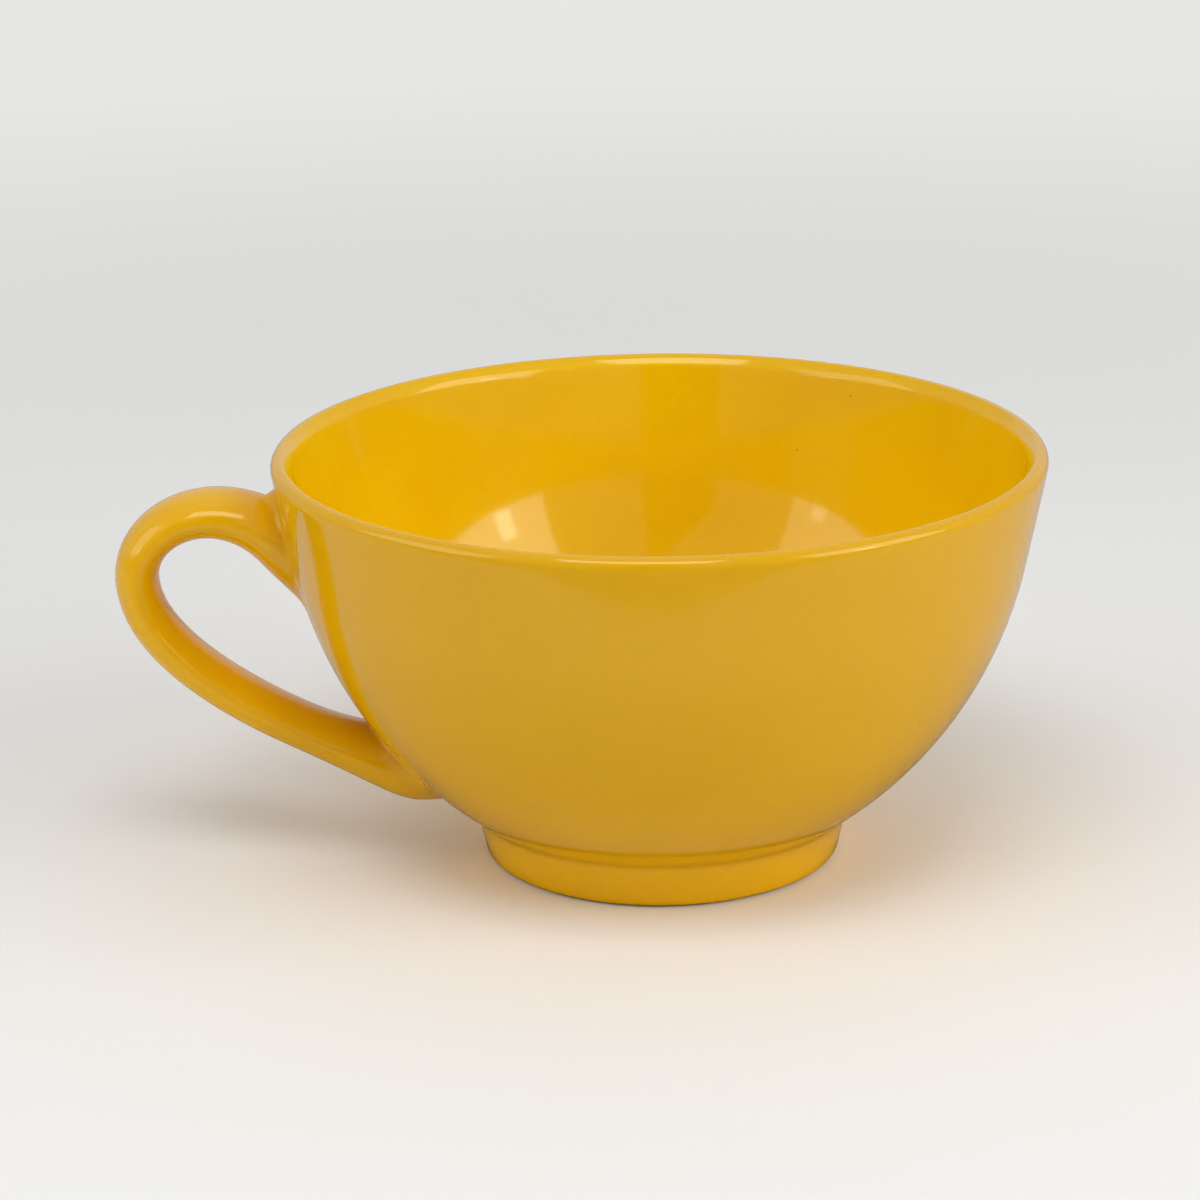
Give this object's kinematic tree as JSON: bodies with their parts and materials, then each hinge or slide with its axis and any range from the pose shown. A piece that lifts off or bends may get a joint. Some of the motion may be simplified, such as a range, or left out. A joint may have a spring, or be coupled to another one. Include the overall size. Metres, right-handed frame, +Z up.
{
  "type": "soup mug",
  "caption": "Wide round bowl on a foot ring with an oval loop handle luted to its side, in clay under a glossy yellow glaze, for soup or a large hot drink.",
  "frame": {"origin": "on the bowl's axis, in the plane of the standing face", "axes": "+Z up along the bowl's axis, the handle towards -X, +Y away from the viewer of the picture"},
  "size_m": [0.1688, 0.14, 0.0766],
  "materials": {
    "clay": "bare fired stoneware, pale buff",
    "slip": "fired luting slip, matt",
    "glaze": "glossy deep yellow glaze"
  },
  "bodies": {
    "root": {"bowl": "clay", "foot_ring": "clay", "foot_slip": "slip", "handle": "clay", "upper_handle_slip": "slip", "lower_handle_slip": "slip", "glaze_coat": "glaze", "base_glaze": "glaze"}
  },
  "joints": []
}
